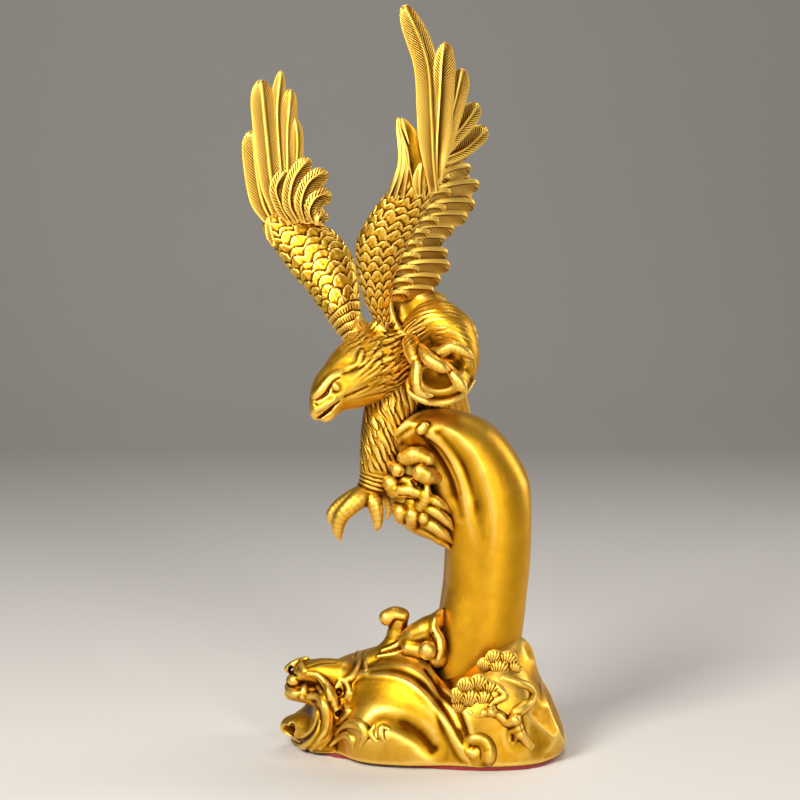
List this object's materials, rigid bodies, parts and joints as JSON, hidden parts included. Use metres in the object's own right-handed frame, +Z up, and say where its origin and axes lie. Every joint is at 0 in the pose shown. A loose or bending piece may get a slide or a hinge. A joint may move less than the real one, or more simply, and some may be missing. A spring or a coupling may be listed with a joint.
{
  "type": "bronze statuette",
  "caption": "Cast bronze eagle with raised wings landing on the crest of a breaking wave, on a rock and surf base with a felt pad underneath.",
  "frame": {"origin": "centre of the flat underside of the felt pad, where the statuette stands", "axes": "+Z up; -X towards the eagle's beak; -Y towards the side with the raised foot and the pine relief"},
  "size_m": [0.1635, 0.1127, 0.3694],
  "materials": {
    "bronze": "satin gold-bronze lacquer, darker in the recesses",
    "plate": "plain rolled sheet",
    "steel": "zinc plated",
    "felt": "red flocked felt"
  },
  "bodies": {
    "root": {"felt_pad": "felt", "base_cover_plate": "plate", "base_casting": "bronze", "surf_scroll": "bronze", "curl_knob": "bronze", "pine_relief": "bronze", "wave_column": "bronze", "crest_foam": "bronze", "eagle_body": "bronze", "near_wing": "bronze", "far_wing": "bronze", "tail": "bronze", "reaching_leg": "bronze", "raised_leg": "bronze", "cover_screw_1": "steel", "cover_screw_2": "steel", "cover_screw_3": "steel", "cover_screw_4": "steel", "tie_rod": "steel", "tie_rod_washer": "steel", "tie_rod_nut": "steel", "body_stud": "steel", "near_wing_dowel": "steel", "far_wing_dowel": "steel", "tail_dowel": "steel", "reaching_leg_dowel": "steel", "raised_leg_dowel": "steel"}
  },
  "joints": []
}
